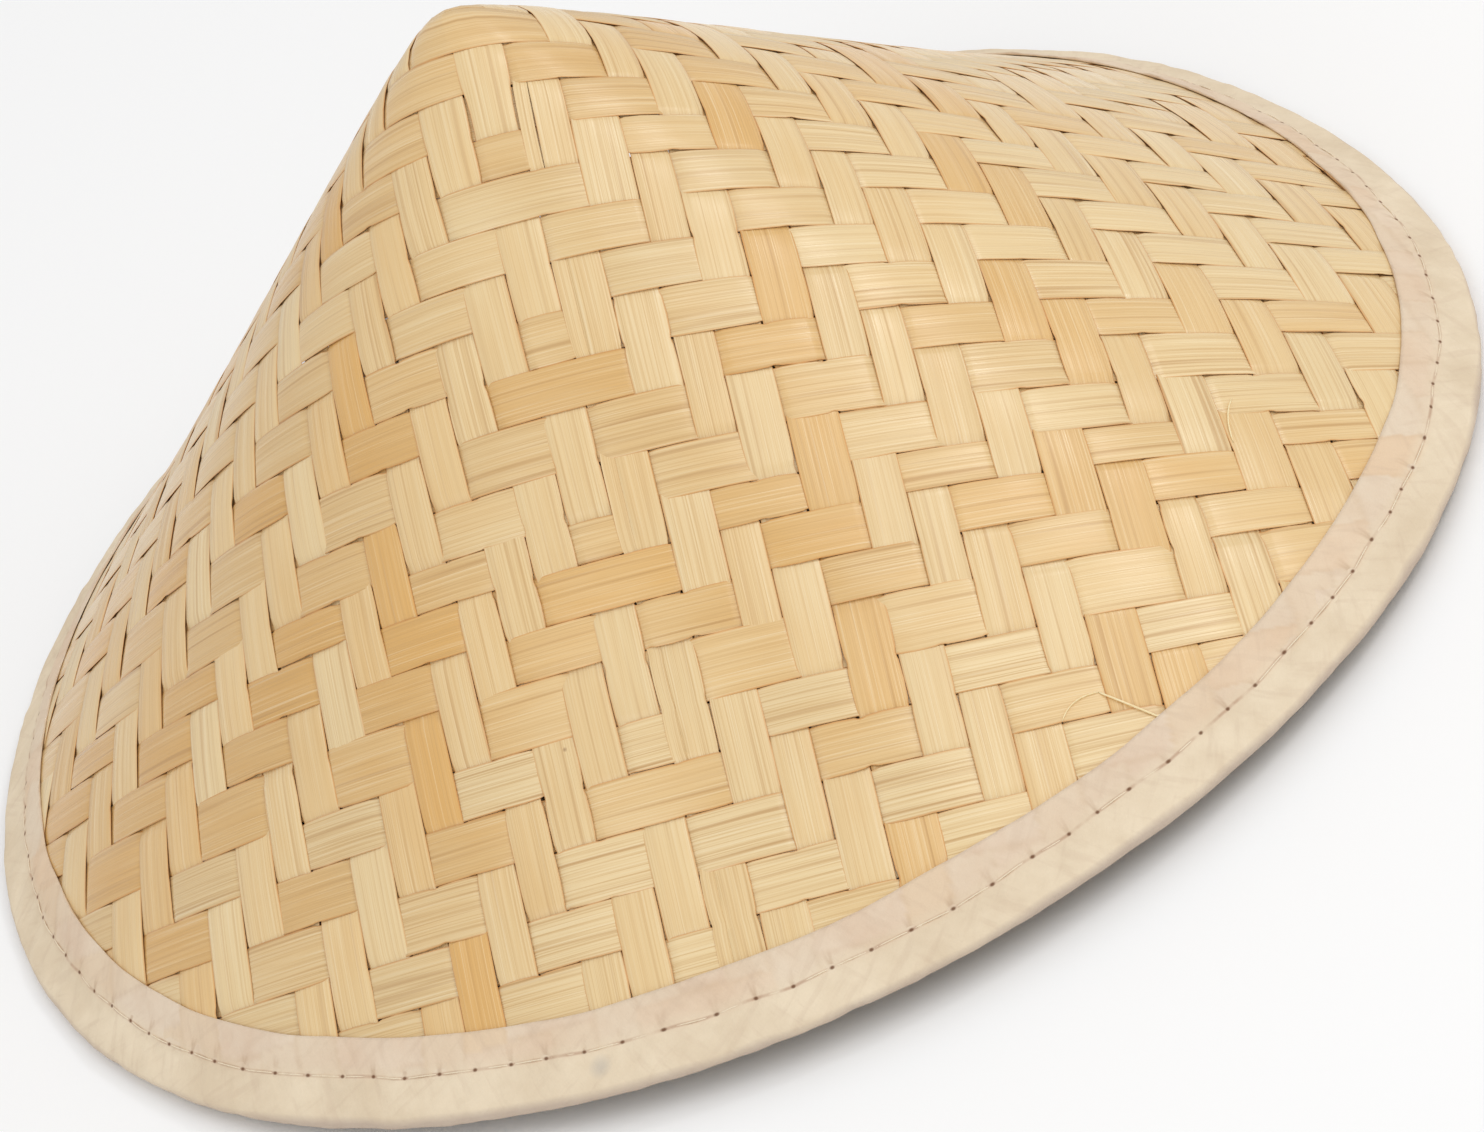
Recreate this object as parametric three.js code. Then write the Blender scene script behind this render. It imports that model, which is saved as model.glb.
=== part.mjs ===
// A conical sun hat: a mat of bamboo strips rolled into a cone, with a folded cotton tape round its rim.
// Millimetres, +Z up. The hat rests on z = 0 with its hollow facing down, and its front faces -Y.
import * as THREE from "three";

// Driving dimensions of the cone
const RIM_RADIUS = 180; // to the outermost fold of the tape
const CONE_HEIGHT = 148.5; // the middle of the wall at the tip, above the rim
const TIP_ROUNDING = 6; // how far out the blunt tip reaches before the straight side begins
const BOW = 0.014; // how hollow the side is between tip and rim, as a share of the height
const LOW_BOW = 0.09; // and how much more so towards the rim
const MAT_WALL = 1.4; // two crossing layers of strip

// How this one hat is out of true
const SIDE_DROP = 3.7; // the rim's left and right are this much low, its front and back as much high
const FLAT_DEPTH = 8; // the rim is pushed in by this much at one side
const FLAT_AT = 13; // degrees round from +X
const FLAT_REACH = 32; // degrees to either side within which most of it lies

// The lap where the rolled mat closes, at the back
const LAP_AT = 76.2; // degrees round from +X
const LAP_HALF_WIDTH = 3; // degrees to either side
const LAP_STEP = 0.15; // half the width in degrees of the step at an edge
const LAP_RAMP = 5; // degrees over which the upper layer rises
const LAP_STARTS = 0.06; // the lap fades out towards the tip between these shares of the radius
const LAP_FULL = 0.15;

// The tape over the rim
const TAPE_WALL = 1.2; // cotton cloth, doubled
const TAPE_DEPTH = 16; // from the mat's edge up its slope, outside and inside
const CLEARANCE = 0.3;
const PRESSED = 0.4; // how far the cloth is flattened where it rests

// Fineness of the meshes
const RIBS = 72; // round the hat, before the lap's own edges are added
const MAT_STATIONS = [0, 0.012, 0.03, 0.055, 0.09, 0.15, 0.25, 0.4, 0.55, 0.7, 0.85];
const FOLD_STEPS = 8;
const TAPE_STEPS = 3;

// Height of the mat's middle over the rim's plane, at a share t of the rim's radius, and its slope:
// the downward angle of the side there, in radians
function sideAt(t) {
  const blunt = TIP_ROUNDING / RIM_RADIUS;
  const span = Math.hypot(1, blunt) - blunt;
  const u = (Math.hypot(t, blunt) - blunt) / span;
  const bow = 1 - BOW * u - LOW_BOW * u * u;
  const bowRate = -BOW - 2 * LOW_BOW * u;
  const uRate = t / Math.hypot(t, blunt) / span;
  const fall = CONE_HEIGHT * (bow - (1 - u) * bowRate) * uRate;
  return { height: CONE_HEIGHT * (1 - u) * bow, slope: Math.atan(fall / RIM_RADIUS) };
}

const rimSlope = sideAt(1).slope;
const foldRadius = MAT_WALL / 2 + CLEARANCE + TAPE_WALL;
const matEdge = 1 - (foldRadius * Math.cos(rimSlope)) / RIM_RADIUS;

// Azimuths of the ribs in radians: evenly spaced, with two more at each edge of the lap
function ribAzimuths() {
  const fromLap = [];
  for (let k = 0; k < RIBS; k++) fromLap.push((k * 360) / RIBS);
  for (const edge of [LAP_HALF_WIDTH, 360 - LAP_HALF_WIDTH]) {
    fromLap.push(edge - LAP_STEP, edge + LAP_STEP);
  }
  fromLap.sort((a, b) => a - b);
  return fromLap.map((degrees) => THREE.MathUtils.degToRad(degrees + LAP_AT));
}

// Degrees from one azimuth, given in degrees, to another, given in radians, the short way round
function degreesFrom(start, azimuth) {
  const turns = THREE.MathUtils.radToDeg(azimuth) - start;
  return turns - 360 * Math.round(turns / 360);
}

// How far the outer and inner faces of the mat rise over its plain wall, near the lap.
// The upper layer climbs over the lower one's edge on one side, and ends in a step on the other.
function lapRise(t, azimuth) {
  const d = degreesFrom(LAP_AT, azimuth);
  const full = MAT_WALL * THREE.MathUtils.smoothstep(t, LAP_STARTS, LAP_FULL);
  const climbed = THREE.MathUtils.smoothstep(d, -LAP_HALF_WIDTH - LAP_RAMP, -LAP_HALF_WIDTH);
  return {
    outer: d < LAP_HALF_WIDTH ? full * climbed : 0,
    inner: d < -LAP_HALF_WIDTH ? full * climbed : 0,
  };
}

// The point at a share t of the radius, n millimetres out from the middle of the wall
function placed(t, n, azimuth) {
  const { height, slope } = sideAt(t);
  const rise = lapRise(t, azimuth);
  const off = n + (n > 0 ? rise.outer : rise.inner);
  const pushedIn = FLAT_DEPTH * t * t * Math.exp(-((degreesFrom(FLAT_AT, azimuth) / FLAT_REACH) ** 2));
  const r = RIM_RADIUS * t + off * Math.sin(slope) - pushedIn;
  const z = height + off * Math.cos(slope) - SIDE_DROP * t * t * Math.cos(2 * azimuth);
  return new THREE.Vector3(r * Math.cos(azimuth), r * Math.sin(azimuth), z);
}

// A section, as points of { t, n }, carried round the hat
function revolved(section) {
  const azimuths = ribAzimuths();
  const outline = section.map(({ t, n }) => new THREE.Vector2(t * RIM_RADIUS, n));
  const geometry = new THREE.LatheGeometry(outline, azimuths.length);
  const position = geometry.getAttribute("position");
  for (let v = 0; v < position.count; v++) {
    const rib = Math.floor(v / section.length) % azimuths.length;
    const { t, n } = section[v % section.length];
    position.setXYZ(v, ...placed(t, n, azimuths[rib]).toArray());
  }
  geometry.deleteAttribute("uv");
  return geometry;
}

// The mat: down its inner face from the tip, round the cut edge, and back up outside
function matSection() {
  const stations = [...MAT_STATIONS, matEdge];
  const half = MAT_WALL / 2;
  const inner = stations.map((t) => ({ t, n: -half }));
  const outer = stations.map((t) => ({ t, n: half })).reverse();
  return [...inner, ...outer];
}

// The tape: a U over the mat's edge, its inner line one clearance off the mat
function tapeSection() {
  const alongSlope = (s) => matEdge + (s * Math.cos(rimSlope)) / RIM_RADIUS;
  const line = (radius, depths, side) =>
    depths.map((s) => ({ t: alongSlope(-s), n: side * radius }));
  const fold = (radius) => {
    const points = [];
    for (let k = 0; k <= FOLD_STEPS; k++) {
      const turn = Math.PI * (0.5 - k / FOLD_STEPS);
      points.push({ t: alongSlope(radius * Math.cos(turn)), n: radius * Math.sin(turn) });
    }
    return points;
  };
  const rows = Array.from({ length: TAPE_STEPS }, (_, k) => TAPE_DEPTH * (1 - k / TAPE_STEPS));
  const back = [...rows].reverse();
  const inside = foldRadius - TAPE_WALL;
  const outerLine = [...line(foldRadius, rows, 1), ...fold(foldRadius), ...line(foldRadius, back, -1)];
  const innerLine = [...line(inside, rows, 1), ...fold(inside), ...line(inside, back, -1)];
  const loop = [...innerLine, ...outerLine.reverse()];
  return [...loop, loop[0]];
}

// The cloth gives where it rests: nothing of it stays below the flattened height
function flattened(geometry) {
  geometry.computeBoundingBox();
  const floor = geometry.boundingBox.min.z + PRESSED;
  const position = geometry.getAttribute("position");
  for (let v = 0; v < position.count; v++) {
    if (position.getZ(v) < floor) position.setZ(v, floor);
  }
  return floor;
}

const bamboo = new THREE.MeshStandardMaterial({ color: 0xe6c897, roughness: 0.6, metalness: 0 });
const cotton = new THREE.MeshStandardMaterial({ color: 0xe4d3b8, roughness: 0.95, metalness: 0 });

function wovenCone() {
  const mesh = new THREE.Mesh(revolved(matSection()), bamboo);
  mesh.name = "woven_cone";
  return mesh;
}

function rimBinding() {
  const mesh = new THREE.Mesh(revolved(tapeSection()), cotton);
  mesh.name = "rim_binding";
  return mesh;
}

const hat = new THREE.Group();
const cone = wovenCone();
const binding = rimBinding();
const restingHeight = flattened(binding.geometry);
const middle = new THREE.Box3().setFromObject(binding).getCenter(new THREE.Vector3());
for (const mesh of [cone, binding]) {
  mesh.geometry.translate(-middle.x, -middle.y, -restingHeight);
  mesh.geometry.computeVertexNormals();
  hat.add(mesh);
}

export default hat;
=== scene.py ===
import math

import bpy
import numpy as np
from mathutils import Matrix, Vector


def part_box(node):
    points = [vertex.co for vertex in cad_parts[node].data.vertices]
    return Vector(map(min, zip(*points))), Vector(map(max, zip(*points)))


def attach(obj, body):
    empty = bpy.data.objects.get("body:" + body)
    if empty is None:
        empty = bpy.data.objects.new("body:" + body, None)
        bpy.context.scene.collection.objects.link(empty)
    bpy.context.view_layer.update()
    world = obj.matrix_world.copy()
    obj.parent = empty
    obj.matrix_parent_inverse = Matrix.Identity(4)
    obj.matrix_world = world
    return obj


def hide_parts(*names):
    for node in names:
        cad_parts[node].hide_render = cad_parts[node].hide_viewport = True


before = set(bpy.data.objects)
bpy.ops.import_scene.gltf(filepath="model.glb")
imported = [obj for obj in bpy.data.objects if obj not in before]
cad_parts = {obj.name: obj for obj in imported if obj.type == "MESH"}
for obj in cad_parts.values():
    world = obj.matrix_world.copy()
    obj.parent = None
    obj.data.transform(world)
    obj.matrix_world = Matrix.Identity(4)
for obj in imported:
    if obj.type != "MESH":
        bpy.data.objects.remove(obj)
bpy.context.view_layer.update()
chance = np.random.default_rng(7)

# Form of the hat in metres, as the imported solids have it
RIM_RADIUS = 0.180
CONE_HEIGHT = 0.1485
TIP_ROUNDING = 0.006
BOW = 0.014
LOW_BOW = 0.09
MAT_WALL = 0.0014
SIDE_DROP = 0.0037
FLAT_DEPTH, FLAT_AT, FLAT_REACH = 0.008, 13.0, 32.0  # the rim is pushed in at the right
AXIS_X = 0.00319  # the tip is this far to the right of the middle of the box
FOLD_RADIUS = 0.0022
TAPE_DEPTH = 0.016
LAP_AT = 76.2
LAP_HALF_WIDTH = 3.0
LAP_RAMP = 5.0
LAP_STARTS, LAP_FULL = 0.06, 0.15
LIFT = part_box("woven_cone")[1].z - CONE_HEIGHT - MAT_WALL / 2

# The flat mat that the cone is rolled from. Places on it are in shares of the rim's radius:
# p to the right of the front line and q down from the tip.
FRONT_AT = -103.8  # azimuth in degrees of the mat's middle column
ROLLED = 0.7691  # turn on the flat mat for each turn round the hat
COLUMN_PITCH, ROW_PITCH = 0.054, 0.056  # nominal distances between neighbouring strips

# The strips' own sizes in metres
STRIP_THICK = 0.0003
STRIP_DOME = 0.00005
CROSS_LIFT = 0.00021  # a strip's middle is this far over or under the wall's middle
FLOAT_ARCH = 0.00018
STRIPS_TOP = 0.0006  # the upper faces are about this far off the wall's middle

# How the strips run, in shares of the distance between two of them
STRIP_GAP = 0.002
HALF_TURNOVER = 0.14  # to either side of a crossing's edge, where a strip changes its level
HALF_WAVE = 0.9  # the same for the slow arch of a float
ARCH_UNEVEN = 0.6
WANDER, SWAY = 0.008, 0.006  # slow and quick straying of a strip's middle
NARROWING = 0.005
TILT = 0.006  # rise for each step across
CORNER_OPENING, CORNER_REACH = 0.055, 0.14
PINCH_REACH = 0.6
SPLIT_REACH, SPLIT_SHUT = 1.0, 1.1  # to either side of its middle, how far it gapes and is coloured
LEAST_SPLIT = 0.0004

# A strip's tone: how much its warmth strays and how light it is, for warps and for wefts, and how
# much less warm and how much lighter the painted sheen makes the wefts; the painted shade makes
# them as much warmer and darker
WARP_TONE, WEFT_TONE = (0.06, 0.95), (0.16, 0.918)
SHEEN_WARMTH, SHEEN_LIGHT = 0.26, 0.045
# Where the wefts get painted sheen: columns to the right, and rows and columns low at the front;
# the same columns to the left get painted shade
SHEEN_COLUMNS, FRONT_SHEEN_ROWS = (2, 8), (10, 13)
FRONT_SHEEN_AT, FRONT_SHEEN_REACH = -0.5, 2.5


def smoothstep(x, low, high):
    w = np.clip((x - low) / (high - low), 0, 1)
    return w * w * (3 - 2 * w)


def side_at(t):
    """Height of the wall's middle over the rim's plane, and its slope, at a share t of the
    radius."""
    blunt = TIP_ROUNDING / RIM_RADIUS
    reach = np.hypot(t, blunt)
    span = math.hypot(1, blunt) - blunt
    u = (reach - blunt) / span
    bow = 1 - BOW * u - LOW_BOW * u * u
    fall = CONE_HEIGHT * (bow + (1 - u) * (BOW + 2 * LOW_BOW * u)) * t / reach / span
    return CONE_HEIGHT * (1 - u) * bow, np.arctan(fall / RIM_RADIUS)


def placed(t, n, azimuth):
    """The point at a share t of the radius, n metres out from the wall's middle."""
    height, slope = side_at(t)
    from_flat = (np.degrees(azimuth) - FLAT_AT + 180) % 360 - 180
    pushed_in = FLAT_DEPTH * t * t * np.exp(-((from_flat / FLAT_REACH) ** 2))
    r = RIM_RADIUS * t + n * np.sin(slope) - pushed_in
    z = height + n * np.cos(slope) - SIDE_DROP * t * t * np.cos(2 * azimuth) + LIFT
    return np.stack([r * np.cos(azimuth) + AXIS_X, r * np.sin(azimuth), z], -1)


# Slant distance from the tip for each share of the radius, both in shares of the rim's radius
T_TABLE = np.linspace(0, 1.02, 4001)
S_TABLE = np.concatenate(
    [[0], np.cumsum(np.hypot(np.diff(T_TABLE), np.diff(side_at(T_TABLE)[0]) / RIM_RADIUS))]
)
RIM_SLOPE = float(side_at(1.0)[1])
MAT_EDGE = 1 - FOLD_RADIUS * math.cos(RIM_SLOPE) / RIM_RADIUS
MAT_EDGE_S = float(np.interp(MAT_EDGE, T_TABLE, S_TABLE))
MAT_HALF_TURN = math.radians(180 + LAP_HALF_WIDTH) * ROLLED


def up_slope(depth):
    """The share of the radius at a distance in metres up the slope from the mat's edge."""
    return MAT_EDGE - depth * math.cos(RIM_SLOPE) / RIM_RADIUS


def on_hat(p, q, n):
    """Rolls places on the flat mat into the cone, n metres out from the wall's middle."""
    s, turn = np.hypot(p, q), np.arctan2(p, q)
    t = np.interp(s, S_TABLE, T_TABLE)
    from_lap = np.degrees(turn / ROLLED) - 180
    climbed = smoothstep(from_lap, -LAP_HALF_WIDTH - LAP_RAMP, -LAP_HALF_WIDTH)
    rise = MAT_WALL * smoothstep(t, LAP_STARTS, LAP_FULL) * climbed
    return placed(t, n + rise, math.radians(FRONT_AT) + turn / ROLLED)


def on_mat(a, b):
    """Place on the flat mat of column a and row b. Whole numbers are the strips' middles. The weave
    bends and opens slowly in front of the tip, and near it the rolling has pushed it aside."""
    u, v = a / 10, b / 10
    w = np.where(v < 0, v / (1 - np.minimum(v, 0)), v)
    p = 0.0283 + 0.5547 * u - 0.0072 * v - 0.0285 * u * w - 0.0109 * w**2 - 0.015 * u**2
    p = p + 0.0014 * w**3 + 0.0084 * u * w**2 + 0.0044 * u**2 * w + 0.0184 * u**3
    p = p + 0.0065 * np.exp(-(((b - 2) / 2.5) ** 2) - ((a + 0.3) / 1.5) ** 2)
    q = -0.0432 + 0.5892 * v + 0.0527 * u + 0.0044 * u * w - 0.007 * w**2 - 0.0125 * u**2
    q = q + 0.0089 * w**3 - 0.0036 * u * w**2 - 0.0048 * u**2 * w + 0.0022 * u**3
    q = q + 0.0125 * np.exp(-(((b - 0.5) / 3) ** 2) - (a / 8) ** 2)
    return p, q


def strips_at(p, q):
    """The column and row at a place on the flat mat."""
    a, b = p / COLUMN_PITCH, q / ROW_PITCH
    for _ in range(8):
        p_now, q_now = on_mat(a, b)
        a, b = a + (p - p_now) / COLUMN_PITCH, b + (q - q_now) / ROW_PITCH
    return a, b


def within(p, q, half):
    """Over 0 inside the mat's cut outline. half is 1 or -1 for the part on that side, 0 for all."""
    s, turn = np.hypot(p, q), np.arctan2(p, q)
    inside = np.minimum(MAT_EDGE_S - s, s * (MAT_HALF_TURN - np.abs(turn)))
    return np.minimum(inside, p * half) if half else inside


def weft_over(column, row):
    """The twill reverses at the middle column and at the middle row."""
    return (np.abs(column) - np.abs(row)) % 4 % 3 == 0


def mesh_object(name, points, faces, material, smooth_to=None):
    mesh = bpy.data.meshes.new(name)
    mesh.from_pydata(points, [], faces)
    mesh.shade_smooth()
    if smooth_to:
        mesh.set_sharp_from_angle(angle=math.radians(smooth_to))
    mesh.materials.append(material)
    made = bpy.data.objects.new(name, mesh)
    bpy.context.scene.collection.objects.link(made)
    return made


def set_attribute(made, name, kind, domain, values):
    layer = made.data.attributes.new(name, kind, domain)
    field = "color" if kind == "FLOAT_COLOR" else "vector"
    layer.data.foreach_set(field, np.ascontiguousarray(values, np.float32).ravel())


def set_bake_map(made, places):
    made.data.uv_layers.new(name="OFBake").data.foreach_set(
        "uv", np.ascontiguousarray(places, np.float32).ravel()
    )


# A strip's cross-section as (across, up), in half widths and half thicknesses, anticlockwise from
# its left edge when seen along the strip
EDGES = [(-1.0, 0.4), (-0.975, 0.9)]
UNDERSIDE = [(0.975, 0.9), (1.0, 0.4), (0.95, -1.0), (0.0, -1.0), (-0.95, -1.0)]
PLAIN_TOP = [(-0.5, 1.0), (0.0, 1.0), (0.5, 1.0)]
RIDGED_TOP = [(x / 7, 1.22 if x % 2 else 0.86) for x in range(-6, 7)]
RIDGED_FROM = 0.85
STEPS_IN_CELL = np.array([-0.5, -0.43, -0.36, 0.0, 0.36, 0.43])
STRIPS_EACH_WAY = 26
SCAN_LINES, FEWEST_LINES = 41, 8
# Room on the bake map: added between the lines of a strip and where its section closes, in half
# widths, and between two strips and past the last row, in metres
LINE_ROOM, CLOSING_ROOM = 0.02, 0.1
STRIP_ROOM, LAST_ROOM = 0.0002, 0.025

# The strips that the photograph shows: index, warmth from pale to orange, ridges, width
WARP_TRAITS = {
    # Warps -15 to -12, at the far left, are warmer partly because the warm shade there is painted
    # into their warmth
    -15: (0.55, 0.7, 0.96),
    -14: (0.3, 0.6, 1.02),
    -13: (0.6, 0.3, 0.98),
    -12: (0.5, 0.3, 1.03),
    -11: (0.0, 0.3, 1.03),
    -10: (0.2, 0.2, 1.05),
    -9: (0.25, 0.3, 0.96),
    -8: (0.3, 0.3, 1.02),
    -7: (0.0, 0.2, 1.04),
    -6: (0.45, 0.5, 0.96),
    -5: (1.0, 0.3, 0.96),
    -4: (0.25, 0.3, 0.95),
    -3: (0.35, 0.2, 0.95),
    -2: (0.15, 0.5, 0.99),
    -1: (0.15, 0.1, 1.0),
    0: (0.15, 0.1, 1.0),
    1: (0.2, 0.8, 1.06),
    2: (0.05, 0.6, 1.08),
    3: (0.2, 0.7, 0.87),
    4: (0.15, 0.2, 1.04),
    5: (0.75, 0.5, 1.13),
    6: (0.1, 0.3, 0.98),
    7: (0.15, 0.3, 0.89),
    8: (0.25, 0.2, 1.04),
    9: (0.1, 0.2, 0.98),
    10: (0.65, 0.4, 1.07),
    11: (0.6, 0.5, 1.02),
    12: (0.2, 0.3, 0.86),
    13: (0.05, 0.5, 1.01),
    14: (0.35, 0.2, 1.07),
    15: (0.3, 0.2, 1.01),
    16: (0.0, 0.3, 0.9),
    17: (0.05, 0.3, 1.09),
}
WEFT_TRAITS = {
    1: (0.55, 0.6, 1.05),
    2: (0.6, 0.5, 0.99),
    3: (0.35, 0.5, 1.03),
    4: (0.4, 0.3, 0.93),
    5: (0.2, 0.4, 1.0),
    6: (0.2, 0.2, 0.97),
    7: (0.2, 0.3, 0.97),
    8: (0.35, 0.6, 1.06),
    9: (0.8, 0.4, 0.97),
    10: (0.4, 0.8, 1.15),
    11: (0.3, 0.6, 1.03),
    12: (0.65, 0.7, 0.81),
    13: (0.9, 0.4, 0.97),
    14: (0.65, 0.7, 0.92),
    15: (0.55, 0.3, 1.21),
    16: (0.05, 1.0, 0.94),
    17: (0.55, 0.5, 0.99),
    18: (0.0, 0.9, 1.07),
    19: (0.0, 0.9, 0.93),
    20: (0.1, 0.9, 1.0),
}

# The index of one strip each way, and the place of its middle
WARP_PINNED, WEFT_PINNED = (0, -0.095), (10, 10.044)
# Split warps by index: where across them, where along them the split is open, and how far
WARP_SPLITS = {1: (-0.39, 3.6, 0.03)}
# Warps that are pinched narrow by index: where along them, and by how much on each side
WARP_PINCHES = {0: ((3.1, 0.055),)}


def strip_traits(known, pinned):
    """Warmth, ridges and width of each strip by index, and the places of their middles, set out
    from a pinned one. What the photograph doesn't show is drawn at random in the same range."""
    traits = {}
    for k in range(-STRIPS_EACH_WAY, STRIPS_EACH_WAY + 1):
        drawn = chance.random(3)
        plain = (0.05 + 0.75 * drawn[0] ** 1.6, 0.2 + 0.6 * drawn[1], 0.96 + 0.08 * drawn[2])
        traits[k] = known.get(k, plain)
    widths = np.array([row[2] for row in traits.values()])
    middles = np.cumsum(widths) - widths / 2
    index, place = pinned
    return traits, dict(zip(traits, middles - middles[STRIPS_EACH_WAY + index] + place))


def slow_noise(places, size):
    """Smooth random values from -1 to 1 at places along a strip, changing once every size."""
    knots = chance.uniform(-1, 1, int(np.ptp(places) / size) + 3)
    x = (places - places.min()) / size
    k = np.floor(x).astype(int)
    w = x - k
    w = w * w * (3 - 2 * w)
    return knots[k] * (1 - w) + knots[k + 1] * w


def strip_levels(along, cells, over):
    """Where a strip is over or under, from 1 to -1, and the slow arch of its floats."""
    level, arch = np.zeros_like(along), np.zeros_like(along)
    for c, up in zip(cells, over):
        for line, half in ((level, HALF_TURNOVER), (arch, HALF_WAVE)):
            starts = smoothstep(along, c - 0.5 - half, c - 0.5 + half)
            ends = smoothstep(along, c + 0.5 - half, c + 0.5 + half)
            line += up * (starts - ends)
    return level, arch


def strip_reach(along, cells, place, width, pinches):
    """A strip's middle and half width along it. It strays, and narrows here and there at a corner
    of its crossings, which leaves a small opening, and where it is pinched."""
    centre = place + WANDER * slow_noise(along, 5.0) + SWAY * slow_noise(along, 1.3)
    half = width / 2 - STRIP_GAP / 2 - NARROWING * (1 + slow_noise(along, 2.3)) / 2
    for c, opened in zip(cells, chance.random(len(cells))):
        near = np.exp(-(((along - c + 0.5) / CORNER_REACH) ** 2))
        half = half - CORNER_OPENING * opened**3 * near
    for where, amount in pinches:
        half = half - amount * np.exp(-(((along - where) / PINCH_REACH) ** 4))
    return centre, half


def strip_tone(along, k, is_warp, warmth):
    """A strip's warmth and lightness along it."""
    unsteady, light = WARP_TONE if is_warp else WEFT_TONE
    warm = warmth + unsteady * slow_noise(along, 6.0) + 0.05 * slow_noise(along, 1.6)
    light = light + 0.012 * slow_noise(along, 4.0) + 0.012 * slow_noise(along, 1.5)
    if not is_warp:
        # Painted sheen makes the wefts paler to the right and paler again low at the front, and
        # painted shade makes them as much deeper to the left
        painted_sheen_and_shade = smoothstep(along, *SHEEN_COLUMNS) - smoothstep(-along, *SHEEN_COLUMNS)
        front_sheen = np.exp(-(((along - FRONT_SHEEN_AT) / FRONT_SHEEN_REACH) ** 2))
        painted_sheen_and_shade = painted_sheen_and_shade + smoothstep(k, *FRONT_SHEEN_ROWS) * front_sheen
        warm, light = warm - SHEEN_WARMTH * painted_sheen_and_shade, light + SHEEN_LIGHT * painted_sheen_and_shade
    return warm, light


def split_in_two(centre, half, along, at, opens, opening):
    """The two parts of a split strip: at is where across it, opens where along it."""
    line = centre + at * half
    gap = opening * np.exp(-(((along - opens) / SPLIT_REACH) ** 4)) + LEAST_SPLIT
    left, right = centre - half, centre + half
    yield (left + line - gap / 2) / 2, (line - gap / 2 - left) / 2
    yield (line + gap / 2 + right) / 2, (right - line - gap / 2) / 2


def ribbon(is_warp, along, spacing, middle, reach, side, section):
    """Fields of a ribbon's points, how far inside the mat's outline they are, and its lines' shares
    across. The ribbon is narrowed to what lies inside. None where that is hardly anything.
    The fields are p, q, metres out, metres along, metres across, share across, and two for tone."""

    def lines_at(shares):
        other = middle[:, None] + shares * reach[:, None]
        grid = np.broadcast_to(along[:, None], other.shape)
        p, q = on_mat(other, grid) if is_warp else on_mat(grid, other)
        return p, q, grid, within(p, q, side)

    scan = np.linspace(-1, 1, SCAN_LINES)
    found = np.flatnonzero((lines_at(scan)[3] > 0).sum(0) >= 2)
    if len(found) < FEWEST_LINES:
        return None
    low, high = scan[found[0]], scan[found[-1]]
    v = (low + high) / 2 + section[:, 0] * (high - low) / 2
    p, q, grid, inside = lines_at(v)
    fields = np.zeros(p.shape + (8,))
    fields[:, :, 0], fields[:, :, 1], fields[:, :, 3] = p, q, grid * spacing
    fields[:, :, 4], fields[:, :, 5] = v * reach[:, None] * spacing, v
    return fields, inside, v


def cut_lines(fields, inside, first):
    """A ribbon's lines, cut where they leave the mat's outline, and the numbers of their points.
    Past a cut end the last point's number repeats."""
    steps, count = inside.shape
    index, lines = np.zeros((count + 1, steps), int), []
    for j in range(count):
        kept = np.flatnonzero(inside[:, j] > 0)
        start, end = kept[0], kept[-1]
        ends = []
        for inner, outer in ((start, start - 1), (end, end + 1)):
            w = inside[inner, j] / (inside[inner, j] - inside[outer, j])
            ends.append(fields[inner, j] * (1 - w) + fields[outer, j] * w)
        lines.append(np.concatenate([[ends[0]], fields[start : end + 1, j], [ends[1]]]))
        index[j] = first + np.clip(np.arange(steps) - start + 1, 0, len(lines[-1]) - 1)
        first += len(lines[-1])
    index[-1] = index[0]
    return lines, index


def ribbon_faces(index, is_warp):
    """Faces of a closed ribbon from its lines' point numbers, each with the lines that its corners
    are on. Where numbers repeat, a face has fewer corners or is left out."""
    order = (0, 1, 2, 3) if is_warp else (3, 2, 1, 0)
    a, b = index[:-1, :-1], index[:-1, 1:]
    c, d = index[1:, 1:], index[1:, :-1]
    line_of = np.broadcast_to(np.arange(len(index) - 1)[:, None], a.shape)
    quads = np.stack([a, b, c, d], -1).reshape(-1, 4)
    sides = np.stack([line_of, line_of, line_of + 1, line_of + 1], -1).reshape(-1, 4)
    real = (quads[:, 0] != quads[:, 1]) | (quads[:, 2] != quads[:, 3])
    for quad, place in zip(quads[real].tolist(), sides[real].tolist()):
        face, near = [], []
        for m in order:
            if quad[m] not in face:
                face.append(quad[m])
                near.append(place[m])
        if len(face) > 2:
            yield face, near
    for end, forward in ((0, is_warp), (-1, not is_warp)):
        cap, near = index[:-1, end].tolist(), list(range(len(index) - 1))
        yield (cap, near) if forward else (cap[::-1], near[::-1])


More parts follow.
